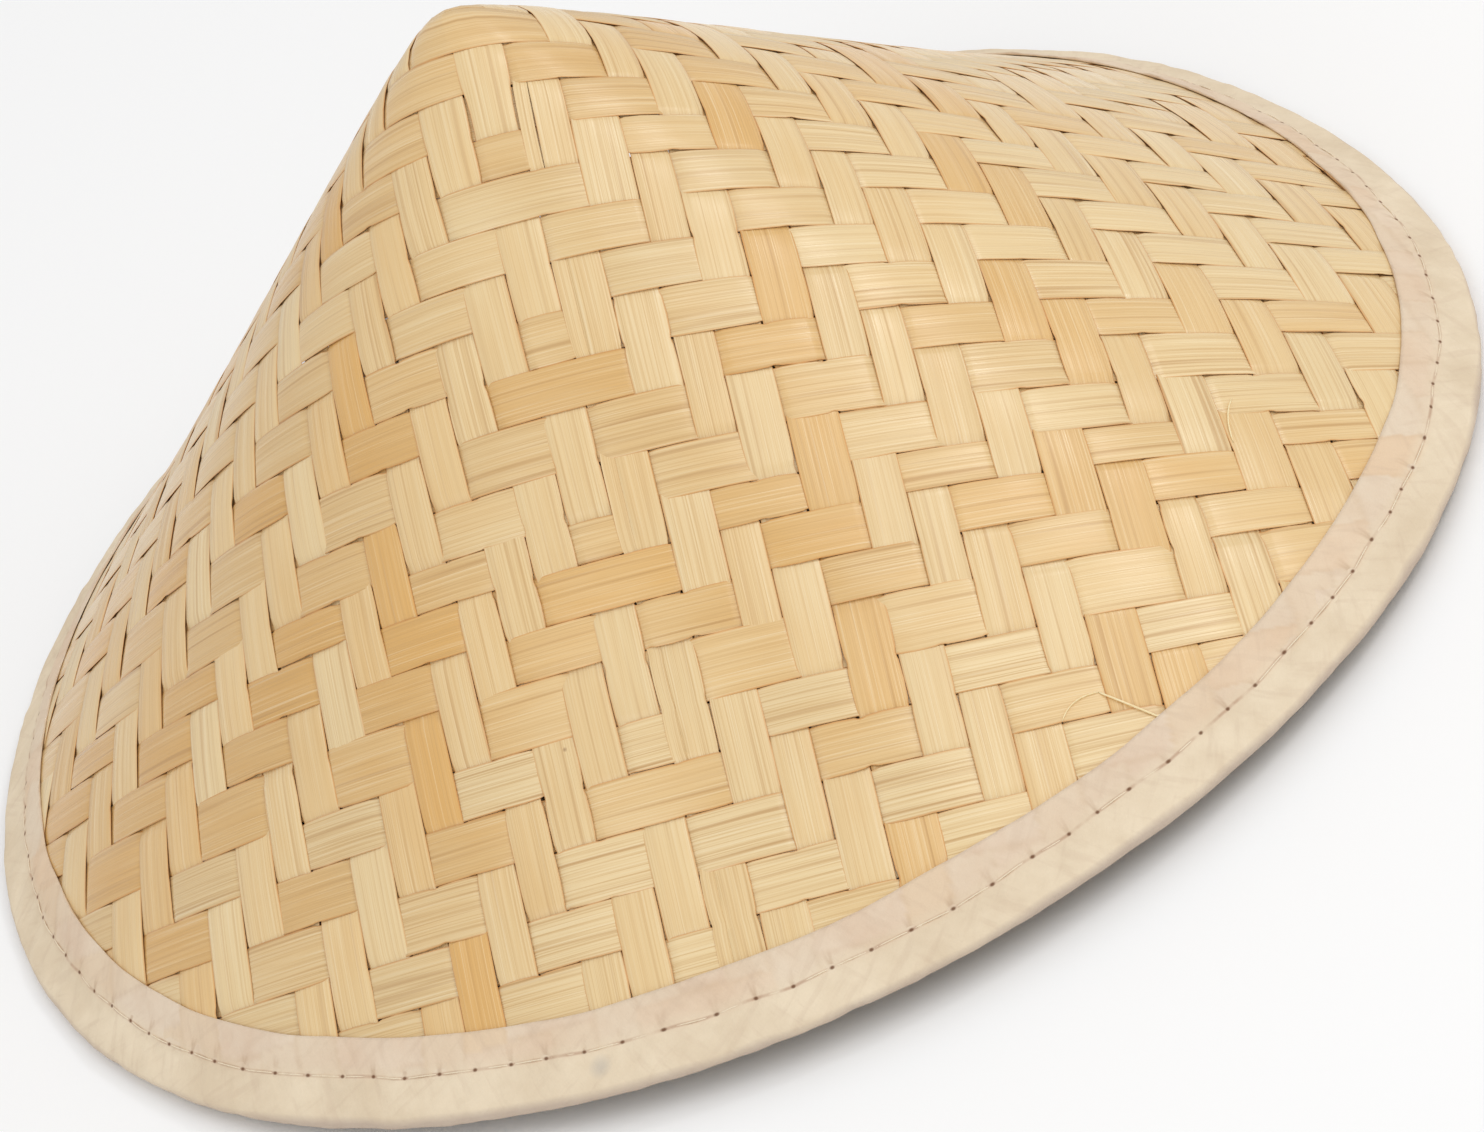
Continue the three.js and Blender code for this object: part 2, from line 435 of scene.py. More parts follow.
def strip_ribbons(is_warp, k, traits, place, split, pinches, cells, along, spacing):
    """The ribbons that a strip is made of: for each its fields, how far inside the mat's outline
    its points are and its lines' shares across, and the strip's greatest half width, and its ridges
    and random seed."""
    warmth, ridges, width = traits
    over = np.where(~weft_over(k, cells) if is_warp else weft_over(cells, k), 1, -1)
    level, arch = strip_levels(along, cells, over)
    arch = FLOAT_ARCH * (1 + ARCH_UNEVEN * slow_noise(along, 1.3)) * arch
    lift = CROSS_LIFT * level + arch
    centre, half = strip_reach(along, cells, place, width, pinches)
    tilt = TILT * slow_noise(along, 1.7)
    warm, light = strip_tone(along, k, is_warp, warmth)
    seed = chance.random()
    section = np.array(EDGES + (RIDGED_TOP if ridges > RIDGED_FROM else PLAIN_TOP) + UNDERSIDE)
    ribbons = split_in_two(centre, half, along, *split) if split else [(centre, half)]
    for part, (middle, reach) in enumerate(ribbons):
        # A weft above the tip goes round the back, so it is made in two parts
        for side in (1, -1) if not is_warp and k < 2 else (0,):
            made = ribbon(is_warp, along, spacing, middle, reach, side, section)
            if made is None:
                continue
            fields, inside, v = made
            bend = tilt[:, None] * v * reach[:, None] * spacing
            fields[:, :, 2] = lift[:, None] + bend + STRIP_THICK / 2 * section[:, 1]
            fields[:, :, 2] += STRIP_DOME * (1 - v**2)
            if split:
                # Where the split is shut, its sides don't get the painted edge shade
                shut = 1 - np.exp(-(((along - split[1]) / SPLIT_SHUT) ** 4))
                at_split = v > 0 if part == 0 else v < 0
                fields[:, :, 5] *= 1 - at_split * shut[:, None]
            fields[:, :, 6], fields[:, :, 7] = warm[:, None], light[:, None]
            yield fields, inside, v, half.max(), (ridges, seed)


def weave(name, is_warp, known, pinned, splits, pinches, material):
    """All strips of one direction as closed ribbons in one mesh, and each strip's warmth by
    index."""
    traits, middles = strip_traits(known, pinned)
    cells = np.arange(-STRIPS_EACH_WAY, STRIPS_EACH_WAY + 1)
    along = (cells[:, None] + STEPS_IN_CELL).ravel()
    spacing = (COLUMN_PITCH if is_warp else ROW_PITCH) * RIM_RADIUS
    points, faces, tones, runs, grains, corners = [], [], [], [], [], []
    count, row_at = 0, 0.0
    for k, of_strip in traits.items():
        strip = (is_warp, k, of_strip, middles[k], splits.get(k), pinches.get(k, ()))
        for fields, inside, v, widest, own in strip_ribbons(*strip, cells, along, spacing):
            lines, index = cut_lines(fields, inside, count)
            block = np.concatenate(lines)
            spots = on_hat(block[:, 0], block[:, 1], block[:, 2])
            points.append(spots)
            parts = np.split(spots, np.cumsum([len(line) for line in lines])[:-1])
            grains.append(np.concatenate([np.gradient(line, axis=0) for line in parts]))
            runs.append(block[:, 3:6])
            tones.append(np.append(block[:, 6:8], np.broadcast_to(own, (len(block), 2)), 1))
            spread = np.concatenate([[0], np.cumsum(np.abs(np.diff(v)) + LINE_ROOM)])
            spread = np.append(spread, spread[-1] + CLOSING_ROOM) * widest * spacing
            where = block[:, 3] - along.min() * spacing
            for face, near in ribbon_faces(index, is_warp):
                faces.append(face)
                corners += [(where[f - count], row_at + spread[g]) for f, g in zip(face, near)]
            count += len(block)
            row_at += spread[-1] + STRIP_ROOM
    made = mesh_object(name, np.concatenate(points), faces, material, smooth_to=40)
    set_attribute(made, "run", "FLOAT_VECTOR", "POINT", np.concatenate(runs))
    set_attribute(made, "tone", "FLOAT_COLOR", "POINT", np.concatenate(tones))
    set_attribute(made, "grain", "FLOAT_VECTOR", "POINT", np.concatenate(grains) * 1000)
    # The bake map lays the strips in rows, in two columns
    corners = np.array(corners)
    column = (corners[:, 1] > row_at / 2).astype(float)
    u = (corners[:, 0] / (np.ptp(along) * spacing) + column) / 2
    v = (corners[:, 1] - column * row_at / 2) / (row_at / 2 + LAST_ROOM)
    set_bake_map(made, np.stack([u, v], -1))
    return made, {k: row[0] for k, row in traits.items()}


def tree_of(name):
    material = bpy.data.materials.new(name)
    material.use_nodes = True
    tree = material.node_tree
    return material, tree, tree.nodes["Principled BSDF"]


def node(tree, kind, inputs=None, **settings):
    """A node with its settings and inputs. A socket among the inputs is linked, and any other value
    is set."""
    made = tree.nodes.new(kind)
    for key, value in settings.items():
        setattr(made, key, value)
    for key, value in (inputs or {}).items():
        if isinstance(value, bpy.types.NodeSocket):
            tree.links.new(value, made.inputs[key])
        else:
            made.inputs[key].default_value = value
    return made


def math_node(tree, operation, *values):
    return node(tree, "ShaderNodeMath", dict(enumerate(values)), operation=operation).outputs[0]


def times(tree, one, other):
    return math_node(tree, "MULTIPLY", one, other)


def mixed(tree, factor, one, other):
    inputs = {0: factor, 6: one, 7: other}
    made = node(tree, "ShaderNodeMix", inputs, data_type="RGBA", clamp_factor=True)
    return made.outputs[2]


def ramp(tree, value, low, high, at_low=0.0, at_high=1.0):
    """at_low where the value is low or less, at_high where it is high or more."""
    inputs = {0: value, 1: low, 2: high, 3: at_low, 4: at_high}
    return node(tree, "ShaderNodeMapRange", inputs).outputs[0]


def noise(tree, place, scale, detail, roughness=0.5):
    inputs = {"Vector": place, "Scale": scale, "Detail": detail, "Roughness": roughness}
    return node(tree, "ShaderNodeTexNoise", inputs).outputs[0]


def attribute(tree, name, output="Vector"):
    return node(tree, "ShaderNodeAttribute", attribute_name=name).outputs[output]


def near_spot(tree, place, spot, inner, outer, strength):
    """A round mark on the surface at a spot in metres."""
    away = node(tree, "ShaderNodeVectorMath", {0: place, 1: spot}, operation="DISTANCE")
    return ramp(tree, away.outputs["Value"], inner, outer, strength, 0.0)


def linear(r, g, b):
    """An sRGB colour of 0 to 255 as the linear colour of a shader."""
    shares = (c / 255 for c in (r, g, b))
    flat = (c / 12.92 if c < 0.04045 else ((c + 0.055) / 1.055) ** 2.4 for c in shares)
    return (*flat, 1.0)


SPECK_AT = (-0.0439, -0.1146, 0.0511)  # a dark spot on one strip


def bamboo():
    material, tree, shader = tree_of("split_bamboo")
    place = node(tree, "ShaderNodeTexCoord").outputs["Object"]
    parts = node(tree, "ShaderNodeSeparateXYZ", {0: attribute(tree, "run")})
    traits = node(tree, "ShaderNodeSeparateColor", {0: attribute(tree, "tone", "Color")})
    length, across, share = parts.outputs
    warmth, shade, ridges = traits.outputs
    seed = times(tree, attribute(tree, "tone", "Alpha"), 90.0)
    pale, tan = linear(240, 213, 162), linear(229, 180, 106)
    line_colour, light_line_colour = linear(205, 163, 104), linear(250, 232, 196)
    groove_colour, edge_shade_colour = linear(190, 142, 82), linear(214, 140, 60)
    speck_colour = linear(140, 96, 60)

    def streaks(long, fine, detail, offset):
        """Noise that changes over two lengths in metres, along the strip and across it."""
        at = {
            0: math_node(tree, "DIVIDE", length, long),
            1: math_node(tree, "DIVIDE", across, fine),
            2: math_node(tree, "ADD", seed, offset),
        }
        return noise(tree, node(tree, "ShaderNodeCombineXYZ", at).outputs[0], 1.0, detail, 0.6)

    fibres = streaks(0.05, 0.00024, 2.0, 0.0)
    grooves = streaks(0.09, 0.0011, 1.0, 11.0)
    patches = streaks(0.02, 0.006, 2.0, 23.0)
    uneven = math_node(tree, "SUBTRACT", warmth, 0.25)
    uneven = math_node(tree, "MULTIPLY_ADD", patches, 0.5, uneven)
    colour = mixed(tree, uneven, pale, tan)
    deep = ramp(tree, ridges, 0.0, 1.0, 0.34, 0.7)
    colour = mixed(tree, ramp(tree, fibres, 0.3, 0.56, deep, 0.0), colour, line_colour)
    colour = mixed(tree, ramp(tree, fibres, 0.55, 0.7, 0.0, 0.4), colour, light_line_colour)
    colour = mixed(tree, ramp(tree, grooves, 0.25, 0.42, deep, 0.0), colour, groove_colour)
    # Painted shade: a brown line along each strip's edges and sides, where the gaps between strips
    # lie in shade
    to_edge = math_node(tree, "MULTIPLY_ADD", patches, 0.08, math_node(tree, "ABSOLUTE", share))
    colour = mixed(tree, ramp(tree, to_edge, 0.975, 1.035, 0.0, 0.65), colour, edge_shade_colour)
    speck = near_spot(tree, place, SPECK_AT, 0.0002, 0.0006, 0.6)
    colour = mixed(tree, speck, colour, speck_colour)
    inputs = {0: 1.0, 6: colour, 7: shade}
    shaded = node(tree, "ShaderNodeMix", inputs, data_type="RGBA", blend_type="MULTIPLY")
    tree.links.new(shaded.outputs[2], shader.inputs["Base Color"])
    tree.links.new(ramp(tree, fibres, 0.3, 0.7, 0.4, 0.22), shader.inputs["Roughness"])
    ridge_height = times(tree, grooves, times(tree, ridges, 2.2))
    height = math_node(tree, "MULTIPLY_ADD", fibres, 0.8, ridge_height)
    bump = node(tree, "ShaderNodeBump", {"Height": height, "Distance": 0.00006, "Strength": 1.0})
    tree.links.new(bump.outputs[0], shader.inputs["Normal"])
    tree.links.new(attribute(tree, "grain"), shader.inputs["Tangent"])
    shader.inputs["Anisotropic"].default_value = 0.8
    shader.inputs["Anisotropic Rotation"].default_value = 0.25
    shader.inputs["Specular IOR Level"].default_value = 0.6
    return material


# The tape, in metres
TAPE_STEPS = 1230  # points round the hat
TAPE_HOLES = 123  # needle holes round the hat
HOLE_SPACING = 0.0091
STITCH_DEPTH = 0.0078  # the stitch line is this far up the slope from the mat's edge
CLOTH_THICK = 0.0004
OUTER_ROWS, FOLD_ROWS, INNER_ROWS = 18, 9, 14
LAP_STEP = 0.5  # half the width in degrees of the cloth's step down at an end of the lap
# How much closer to the mat than the fold the sewn cloth lies, and by where up the slope
DRAWN_IN, DRAWN_BY = 0.00095, 0.006
# How much closer still its raw edges lie, and from where
EDGE_PRESSED, PRESSED_FROM = 0.00015, 0.013
WAVES_FROM = 0.008  # the outer edge's waves begin here
GROOVE_DEPTH, GROOVE_REACH = 0.00022, 0.0016
DIMPLE_DEPTH, DIMPLE_REACH = 0.00042, 0.0011
UNEVEN_STITCHES = 0.25  # in stitches
# Noise on the cloth: height and knots round the hat, and for the puffs also their slant
RAGGED = ((0.0005, TAPE_HOLES), (0.0004, 31))
EDGE_WAVES = ((0.0004, 70), (0.0003, 24))
PUFFS = ((0.00026, 110, 3.0), (0.00016, 260, -9.0), (0.00013, 410, 14.0))
PUFF_ROWS = 6
FOLD_PUFF = 0.6  # share of the puffs that is left on the fold
EDGE_SHOWS = 0.12  # share of a strip's width over which its edge shows through the cloth


def lap_rise(azimuth, inner):
    """How far the cloth stands off where it goes over the lap."""
    d = np.degrees(azimuth) - LAP_AT
    d = d - 360 * np.round(d / 360)
    climbed = smoothstep(d, -LAP_HALF_WIDTH - LAP_RAMP, -LAP_HALF_WIDTH)
    ends = -LAP_HALF_WIDTH if inner else LAP_HALF_WIDTH
    return MAT_WALL * climbed * (1 - smoothstep(d, ends - LAP_STEP, ends + LAP_STEP))


def ring_noise(turn, across, waves, rows, slant):
    """Smooth noise on the tape, from -1 to 1: waves knots round the hat, rows across the tape."""
    knots = chance.uniform(-1, 1, (waves, rows + 2))
    x = (turn / (2 * math.pi) * waves + slant * across) % waves
    y = np.clip(across, 0, 1) * rows
    i, j = np.floor(x).astype(int), np.minimum(np.floor(y).astype(int), rows)
    u, v = x - i, y - j
    u, v = u * u * (3 - 2 * u), v * v * (3 - 2 * v)
    low = knots[i % waves, j] * (1 - u) + knots[(i + 1) % waves, j] * u
    high = knots[i % waves, j + 1] * (1 - u) + knots[(i + 1) % waves, j + 1] * u
    return low * (1 - v) + high * v


def tape_section():
    """Rows of the cloth from its outer edge over the fold to its inner edge: metres up the slope
    from the mat's edge, and how far out and how far down the slope the cloth faces there."""
    rows = [(depth, 1.0, 0.0) for depth in np.linspace(TAPE_DEPTH, 0, OUTER_ROWS)[:-1]]
    for turn in np.linspace(0, math.pi, FOLD_ROWS):
        rows.append((-FOLD_RADIUS * math.sin(turn), math.cos(turn), math.sin(turn)))
    return rows + [(depth, -1.0, 0.0) for depth in np.linspace(0, TAPE_DEPTH, INNER_ROWS)[1:]]


def cloth_face(layer, rows, azimuth, to_hole_round, ragged, edge_wave, puffs):
    """The points of the cloth's outer face, where layer is 1, or of its face on the mat, where it
    is 0."""
    face = []
    for (depth, out, down), puff in zip(rows, puffs):
        offset = FOLD_RADIUS - CLOTH_THICK * (1 - layer)
        offset -= DRAWN_IN * smoothstep(depth, 0.0, DRAWN_BY)
        offset -= EDGE_PRESSED * smoothstep(depth, PRESSED_FROM, TAPE_DEPTH)
        to_line = np.abs(depth - STITCH_DEPTH - ragged)
        to_hole = np.hypot(to_hole_round, to_line)
        groove = GROOVE_DEPTH * np.exp(-((to_line / GROOVE_REACH) ** 2))
        dimple = DIMPLE_DEPTH * np.exp(-((to_hole / DIMPLE_REACH) ** 2))
        lift = (puff - groove - dimple) * layer
        if down:
            reach = offset + lift * FOLD_PUFF
            t = up_slope(-reach * down)
        else:
            reach = offset + lift
            wave = edge_wave * smoothstep(depth, WAVES_FROM, TAPE_DEPTH)
            t = up_slope(depth + wave * (out > 0))
        face.append(placed(t, reach * out + lap_rise(azimuth, inner=out <= 0), azimuth))
    return np.array(face)


def squares_of(grid):
    """The four corners of each square of a grid of points."""
    return np.stack([grid[:-1, :-1], grid[1:, :-1], grid[1:, 1:], grid[:-1, 1:]], 2)


def binding(material, warmths):
    """The tape, and the lines on it that its stitches follow: the turn round the hat, the count of
    holes and the raggedness of the stitch line. warmths are those of the warps and of the wefts."""
    rows = tape_section()
    turn = np.linspace(0, 2 * math.pi, TAPE_STEPS, endpoint=False)
    azimuth = turn + math.radians(LAP_AT)

    def round_noise(waves):
        return ring_noise(turn, 0 * turn, waves, 1, 0)

    # The holes are counted evenly at the lap, where the count closes, and unevenly elsewhere
    phase = turn / (2 * math.pi) * TAPE_HOLES
    phase = phase + UNEVEN_STITCHES * round_noise(60) * np.sin(turn / 2)
    ragged = sum(height * round_noise(waves) for height, waves in RAGGED)
    edge_wave = sum(height * round_noise(waves) for height, waves in EDGE_WAVES)
    depths, outward = np.array([row[0] for row in rows]), np.array([row[1] for row in rows])
    steps = np.hypot(np.diff(depths), np.diff(outward) * FOLD_RADIUS)
    run = np.concatenate([[0], np.cumsum(steps)])
    around, across = np.meshgrid(turn, run / run[-1])
    puffs = sum(
        height * ring_noise(around, across, waves, PUFF_ROWS, slant)
        for height, waves, slant in PUFFS
    )
    to_hole_round = (phase - np.round(phase)) * HOLE_SPACING
    lines = (rows, azimuth, to_hole_round, ragged, edge_wave, puffs)
    outer, inner = cloth_face(1.0, *lines), cloth_face(0.0, *lines)
    points = np.concatenate([outer, inner[::-1]])
    points[:, :, 2] = np.maximum(points[:, :, 2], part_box("rim_binding")[0].z)
    total, m = points.shape[:2]
    index = np.arange(total * m).reshape(total, m)
    index = np.concatenate([index, index[:1]])
    index = np.concatenate([index, index[:, :1]], 1)
    faces = squares_of(index).reshape(-1, 4).tolist()
    made = mesh_object("rim_tape", points.reshape(-1, 3), faces, material)
    # Places on the cloth for its material: holes counted round the hat, metres from the stitch
    # line, and the side that it faces, with -2 for the face on the mat
    count = np.append(phase, phase[0] + TAPE_HOLES)
    depth_of = np.concatenate([depths, depths[::-1], depths[:1]])
    side = np.append(outward, np.full(len(rows) + 1, -2.0))
    off_line = depth_of[:, None] - STITCH_DEPTH - np.append(ragged, ragged[:1])
    grid = np.stack(np.broadcast_arrays(count, off_line, side[:, None]), -1)
    set_attribute(made, "cloth", "FLOAT_VECTOR", "CORNER", squares_of(grid))
    under = seen_through(depth_of[:-1], side[:-1] == 1, azimuth, warmths)
    set_attribute(made, "under", "FLOAT_COLOR", "POINT", under)
    return made, turn, phase, ragged


def seen_through(depths, outside, azimuth, warmths):
    """What the thin cloth lets through of the mat under it: the upper strip's warmth, how near its
    edge is, and whether it is a warp."""
    depth, angle = np.meshgrid(depths, azimuth, indexing="ij")
    s = np.interp(up_slope(depth), T_TABLE, S_TABLE)
    from_front = (angle - math.radians(FRONT_AT) + math.pi) % (2 * math.pi) - math.pi
    column, row = strips_at(s * np.sin(from_front * ROLLED), s * np.cos(from_front * ROLLED))
    k, j = np.round(column).astype(int), np.round(row).astype(int)
    weft_up = weft_over(k, j)
    last = STRIPS_EACH_WAY
    warm_warp, warm_weft = (
        np.array(list(of_strips.values()))[np.clip(at, -last, last) + last]
        for of_strips, at in zip(warmths, (k, j))
    )
    to_edge = np.where(weft_up, 0.5 - np.abs(row - j), 0.5 - np.abs(column - k))
    seen = np.zeros(depth.shape + (4,))
    seen[..., 0] = np.where(weft_up, warm_weft, warm_warp)
    seen[..., 1] = 1 - smoothstep(to_edge, 0.0, EDGE_SHOWS)
    seen[..., 2] = np.where(weft_up, 0.0, 1.0)
    return (seen * outside[:, None, None]).reshape(-1, 4)


SMUDGE_AT = (-0.0659, -0.1614, 0.0103)  # a grey mark on the tape


def cotton():
    material, tree, shader = tree_of("plain_cotton")
    place = node(tree, "ShaderNodeTexCoord").outputs["Object"]
    parts = node(tree, "ShaderNodeSeparateXYZ", {0: attribute(tree, "cloth")})
    holes, off_line, side = parts.outputs
    seen = node(tree, "ShaderNodeSeparateColor", {0: attribute(tree, "under", "Color")})
    warmth, strip_edge, is_warp = seen.outputs

    def creases(round_hat, slant, offset):
        """Noise drawn out in a slant across the tape."""
        x = math_node(tree, "MULTIPLY_ADD", off_line, slant, times(tree, holes, round_hat))
        y = math_node(tree, "MULTIPLY_ADD", off_line, 90.0, offset)
        at = node(tree, "ShaderNodeCombineXYZ", {0: x, 1: y, 2: side})
        return noise(tree, at.outputs[0], 1.0, 3.0)

    folds = noise(tree, place, 110.0, 4.0)
    threads = noise(tree, place, 2600.0, 1.0)
    one_way, other_way = creases(3.2, 220.0, 0.0), creases(2.7, -320.0, 40.0)
    mottled = ramp(tree, noise(tree, place, 60.0, 4.0, 0.65), 0.35, 0.65)
    colour = mixed(tree, mottled, linear(234, 217, 190), linear(222, 203, 175))
    # Up the slope from the stitch line the mat shows through
    band = mixed(tree, mottled, linear(230, 211, 189), linear(222, 197, 173))
    band = mixed(tree, times(tree, warmth, 0.8), band, linear(228, 196, 160))
    band = mixed(tree, times(tree, is_warp, 0.25), band, linear(226, 210, 184))
    band = mixed(tree, times(tree, strip_edge, 0.24), band, linear(196, 164, 130))
    colour = mixed(tree, times(tree, ramp(tree, off_line, -0.0015, 0.0025), 0.85), colour, band)
    # Painted shade in the creases that slant across the tape
    crease_shade = ramp(tree, one_way, 0.33, 0.45, 0.21, 0.0)
    colour = mixed(tree, crease_shade, colour, linear(204, 180, 156))
    crease_shade = ramp(tree, other_way, 0.33, 0.44, 0.18, 0.0)
    colour = mixed(tree, crease_shade, colour, linear(202, 178, 154))
    # Painted shade in the groove where the thread draws the cloth in along the stitch line, more
    # here and less there
    stitch_line_shade = ramp(tree, creases(1.1, 0.0, 70.0), 0.42, 0.54, 0.1, 0.62)
    to_line = math_node(tree, "ABSOLUTE", off_line)
    stitch_line_shade = times(tree, ramp(tree, to_line, 0.00012, 0.0005, 1.0, 0.0), stitch_line_shade)
    colour = mixed(tree, stitch_line_shade, colour, linear(180, 142, 116))
    # Painted shade where the fold turns under at the rim
    fold_shade = ramp(tree, off_line, -0.0098, -0.0082, 0.6, 0.0)
    colour = mixed(tree, fold_shade, colour, linear(176, 158, 148))
    smudge = near_spot(tree, place, SMUDGE_AT, 0.0004, 0.0032, 0.5)
    colour = mixed(tree, smudge, colour, linear(158, 160, 162))
    # Painted shade of short pleats that run up the slope from some of the holes
    to_hole = times(tree, math_node(tree, "PINGPONG", holes, 0.5), 0.7 * HOLE_SPACING)
    leaning = math_node(tree, "SUBTRACT", to_hole, times(tree, off_line, 0.12))
    pleat_shade = ramp(tree, math_node(tree, "ABSOLUTE", leaning), 0.00008, 0.0005, 1.0, 0.0)
    faded = ramp(tree, off_line, 0.0006, 0.0042, 0.42, 0.0)
    faded = times(tree, faded, math_node(tree, "GREATER_THAN", off_line, 0.0))
    some = ramp(tree, creases(0.9, 0.0, 120.0), 0.44, 0.56)
    pleat_shade = times(tree, times(tree, pleat_shade, faded), some)
    colour = mixed(tree, pleat_shade, colour, linear(176, 142, 112))
    # Painted shade in the needle holes
    away = math_node(tree, "ADD", times(tree, to_hole, to_hole), times(tree, off_line, off_line))
    hole_shade = ramp(tree, math_node(tree, "SQRT", away), 0.0002, 0.0005, 0.9, 0.0)
    colour = mixed(tree, hole_shade, colour, linear(110, 74, 50))
    tree.links.new(colour, shader.inputs["Base Color"])
    height = math_node(tree, "MULTIPLY_ADD", folds, 3.0, threads)
    both_ways = math_node(tree, "ADD", one_way, other_way)
    height = math_node(tree, "MULTIPLY_ADD", both_ways, 4.5, height)
    bump = node(tree, "ShaderNodeBump", {"Height": height, "Distance": 0.00006, "Strength": 1.0})
    tree.links.new(bump.outputs[0], shader.inputs["Normal"])
    shader.inputs["Roughness"].default_value = 0.9
    shader.inputs["Specular IOR Level"].default_value = 0.2
    return material


def strand_material(name, pale, deep):
    material, tree, shader = tree_of(name)
    place = node(tree, "ShaderNodeTexCoord").outputs["Object"]
    twist = noise(tree, place, 1500.0, 1.0)
    colour = mixed(tree, twist, linear(*pale), linear(*deep))
    tree.links.new(colour, shader.inputs["Base Color"])
    bump = node(tree, "ShaderNodeBump", {"Height": twist, "Distance": 0.00005})
    tree.links.new(bump.outputs[0], shader.inputs["Normal"])
    shader.inputs["Roughness"].default_value = 0.75
    return material


def tubes(name, paths, radius, material, sides=6):
    """Thin round strands along paths, closed at both ends."""
    points, faces, count = [], [], 0
    turn = np.arange(sides) * 2 * math.pi / sides
    for path in paths:
        path = np.asarray(path)
        ahead = np.gradient(path, axis=0)
        ahead /= np.linalg.norm(ahead, axis=1)[:, None]
        across = np.cross(ahead, (0.0, 0.0, 1.0))
        across /= np.linalg.norm(across, axis=1)[:, None]
        up = np.cross(across, ahead)
        taper = np.ones(len(path))
        taper[[0, -1]] = 0.5
        around = np.cos(turn)[:, None] * across[:, None] + np.sin(turn)[:, None] * up[:, None]
        points.append((path[:, None] + radius * taper[:, None, None] * around).reshape(-1, 3))
        index = count + np.arange(len(path) * sides).reshape(len(path), sides)
        looped = np.concatenate([index, index[:, :1]], 1)
        quads = (looped[:-1, :-1], looped[:-1, 1:], looped[1:, 1:], looped[1:, :-1])
        faces += np.stack(quads, -1).reshape(-1, 4).tolist()
        faces += [index[0][::-1].tolist(), index[-1].tolist()]
        count += len(path) * sides
    return mesh_object(name, np.concatenate(points), faces, material)


# The threads, in metres
RIM_THREAD, RIM_SUNK, RIM_SAG = 0.00015, 0.00112, 0.0006
SEAM_THREAD, SEAM_RAISED, SEAM_SAG = 0.00025, 0.0002, 0.0012
# The seam's stitches along the lap, in shares of the radius: first and last, step and length
SEAM_FROM, SEAM_TO, SEAM_STEP, SEAM_LENGTH = 0.16, 0.9, 0.066, 0.034


def rim_stitches(turn, phase, ragged, material):
    """The thread between each needle hole and the next, outside and inside the hat."""
    counted, turned = np.append(phase, TAPE_HOLES), np.append(turn, 2 * math.pi)
    holes = np.interp(np.arange(TAPE_HOLES + 1), counted, turned)
    w = np.linspace(0.04, 0.96, 9)
    sag = RIM_SAG * np.abs(2 * w - 1) ** 3
    paths = []
    for out in (1, -1):
        for one, other in zip(holes[:-1], holes[1:]):
            along = one + (other - one) * w
            depth = STITCH_DEPTH + np.interp(along, turn, ragged)
            azimuth = along + math.radians(LAP_AT)
            n = (FOLD_RADIUS - RIM_SUNK - sag) * out + lap_rise(azimuth, out < 0)
            paths.append(placed(up_slope(depth), n, azimuth))
    return tubes("rim_stitches", paths, RIM_THREAD, material)


def seam_stitches(material):
    """Plain stitches along the lap at the back, outside and inside."""
    w = np.linspace(0, 1, 7)
    sag = SEAM_SAG * np.abs(2 * w - 1) ** 4
    azimuth = np.full_like(w, math.radians(LAP_AT))
    paths = []
    for out in (1, -1):
        for start in np.arange(SEAM_FROM, SEAM_TO, SEAM_STEP):
            n = (STRIPS_TOP + SEAM_RAISED - sag) * out + (MAT_WALL if out > 0 else 0)
            paths.append(placed(start + SEAM_LENGTH * w, n, azimuth))
    return tubes("seam_stitches", paths, SEAM_THREAD, material)


# Loose fibres: azimuth in degrees and share of the radius at the start, between and at the end,
# and the fibre's own radius
LOOSE_FIBRES = (
    ((-73.6, 0.868), (-71.9, 0.861), (-70.0, 0.867), 0.00014),
    ((-70.0, 0.867), (-69.0, 0.8945), (-68.0, 0.922), 0.00022),
    ((-39.86, 0.7836), (-42.2, 0.7888), (-44.19, 0.8037), 0.00017),
)
FIBRE_ARCH = 0.0004


def loose_fibres(material):
    made = []
    w = np.linspace(-1, 1, 13)
    for number, (start, middle, end, radius) in enumerate(LOOSE_FIBRES):
        pairs = zip(start, middle, end)
        azimuth, t = (np.polyval(np.polyfit((-1, 0, 1), pair, 2), w) for pair in pairs)
        path = placed(t, STRIPS_TOP + FIBRE_ARCH * (1 - w**2), np.radians(azimuth))
        made.append(tubes(f"loose_fibre_{number + 1}", [path], radius, material))
    return made


straw = bamboo()
cloth = cotton()
thread = strand_material("cotton_thread", (244, 232, 208), (226, 206, 176))
splinter = strand_material("bamboo_splinter", (252, 238, 198), (240, 212, 154))
warp, warp_warmths = weave(
    "warp_strips", True, WARP_TRAITS, WARP_PINNED, WARP_SPLITS, WARP_PINCHES, straw
)
weft, weft_warmths = weave("weft_strips", False, WEFT_TRAITS, WEFT_PINNED, {}, {}, straw)
tape, *tape_lines = binding(cloth, (warp_warmths, weft_warmths))
stitches = rim_stitches(*tape_lines, thread)
seam = seam_stitches(thread)
fibres = loose_fibres(splinter)
for piece in (warp, weft, seam, *fibres):
    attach(piece, "root")
for piece in (tape, stitches):
    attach(piece, "root")
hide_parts("woven_cone")
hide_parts("woven_cone")
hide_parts("rim_binding")


# Floor, lights and camera
FLOOR_REACH, FLOOR_WHITE = 6, 0.97
SKY_STRENGTH = 0.78
LIGHTS_AIM = (0, 0, 0.05)


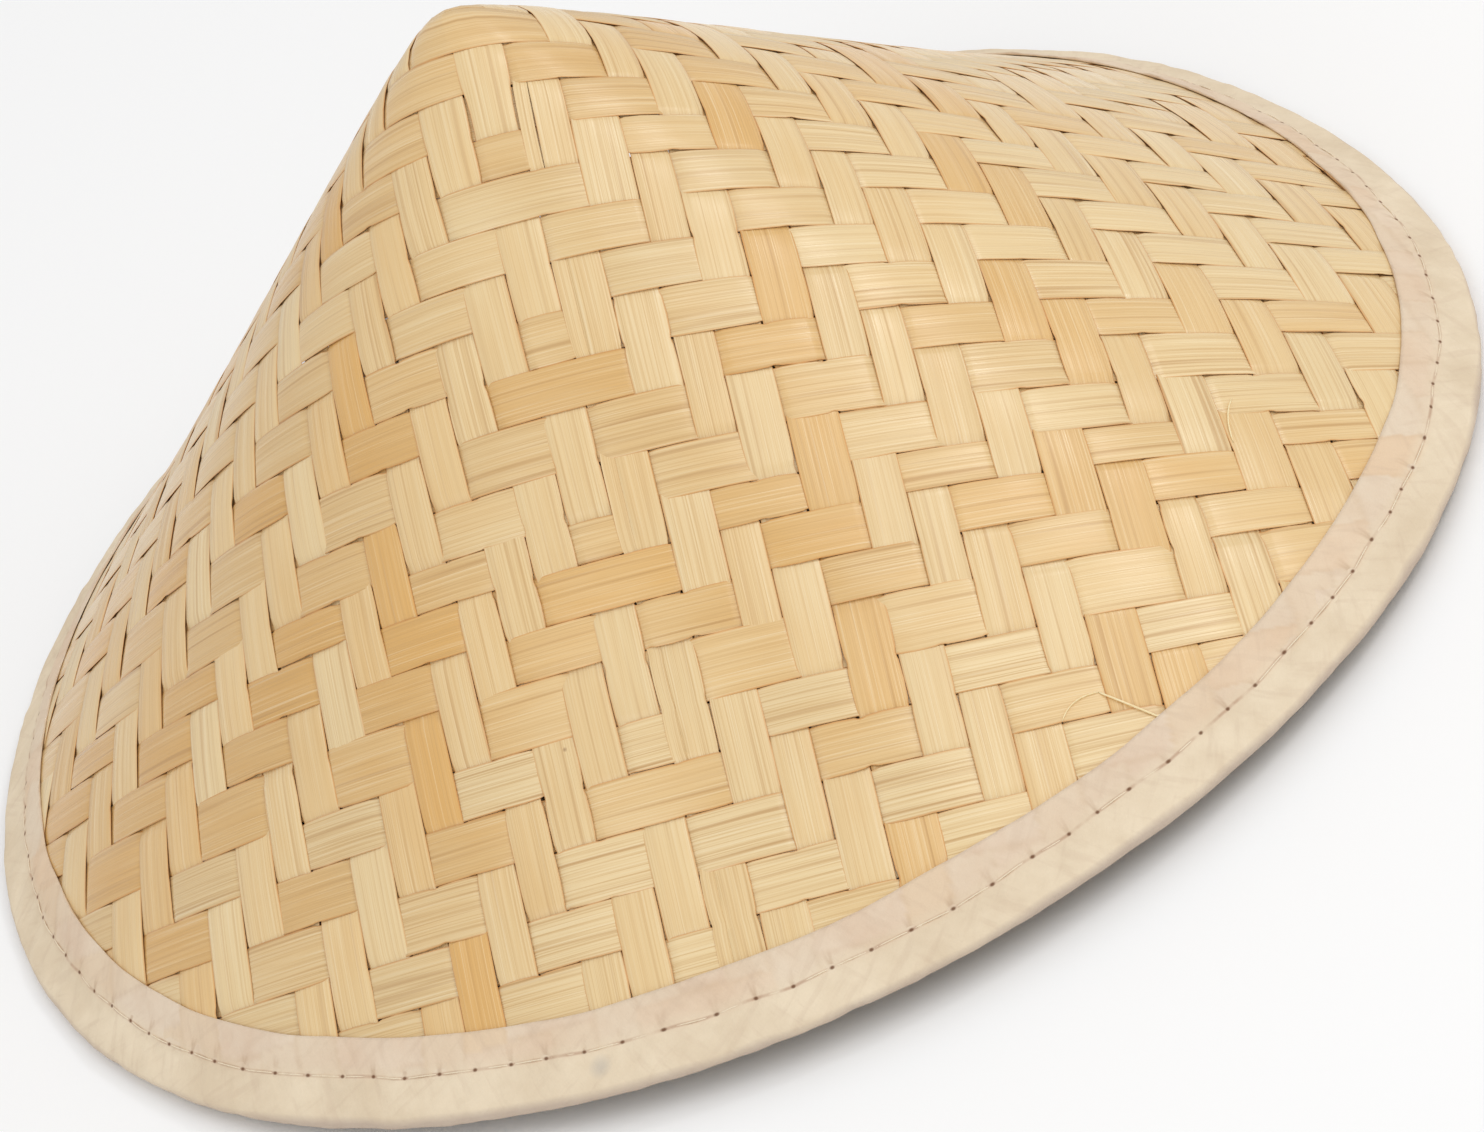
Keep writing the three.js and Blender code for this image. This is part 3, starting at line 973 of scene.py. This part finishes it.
def pale_floor():
    material, tree, shader = tree_of("pale_floor")
    shader.inputs["Base Color"].default_value = (FLOOR_WHITE, FLOOR_WHITE, FLOOR_WHITE, 1)
    shader.inputs["Roughness"].default_value = 0.9
    far = FLOOR_REACH
    corners = [(-far, -far, 0), (far, -far, 0), (far, far, 0), (-far, far, 0)]
    mesh_object("floor", corners, [(0, 1, 2, 3)], material)


def soft_light(name, place, size, power):
    lamp = bpy.data.lights.new(name, "AREA")
    lamp.shape, lamp.size, lamp.energy = "DISK", size, power
    made = bpy.data.objects.new(name, lamp)
    made.location = place
    aim = Vector(LIGHTS_AIM) - Vector(place)
    made.rotation_euler = aim.to_track_quat("-Z", "Y").to_euler()
    bpy.context.scene.collection.objects.link(made)


pale_floor()
soft_light("key", (1.2, -0.9, 1.8), 1.8, 10)
soft_light("side", (-1.25, -1.5, 1.25), 1.0, 4)
soft_light("glint", (1.5, 0.05, 1.65), 0.35, 3)
world = bpy.data.worlds.new("studio")
world.use_nodes = True
world.node_tree.nodes["Background"].inputs[0].default_value = (1, 1, 1, 1)
world.node_tree.nodes["Background"].inputs[1].default_value = SKY_STRENGTH
bpy.context.scene.world = world
bpy.context.scene.view_settings.view_transform = "Standard"

CAMERA_ELEVATION, CAMERA_ROLL = 0.5785, -0.4823  # radians
CAMERA_DISTANCE = 1.225
CAMERA_AIM = (0.0276 * RIM_RADIUS, -0.0291 * RIM_RADIUS)  # to the image's right and up
CAMERA_LENS, SENSOR = 132.0, 36.0


def photo_camera():
    back = Vector((0, -math.cos(CAMERA_ELEVATION), math.sin(CAMERA_ELEVATION)))
    level, upward = Vector((1, 0, 0)), back.cross(Vector((1, 0, 0)))
    right = math.cos(CAMERA_ROLL) * level + math.sin(CAMERA_ROLL) * upward
    up = -math.sin(CAMERA_ROLL) * level + math.cos(CAMERA_ROLL) * upward
    aim = right * CAMERA_AIM[0] + up * CAMERA_AIM[1] + Vector((AXIS_X, 0, LIFT))
    camera = bpy.data.objects.new("photo_camera", bpy.data.cameras.new("photo_camera"))
    camera.data.lens, camera.data.sensor_width = CAMERA_LENS, SENSOR
    axes = Matrix((right, up, back)).transposed()
    camera.matrix_world = Matrix.Translation(aim + back * CAMERA_DISTANCE) @ axes.to_4x4()
    bpy.context.scene.collection.objects.link(camera)
    bpy.context.scene.camera = camera


photo_camera()
bpy.context.view_layer.update()
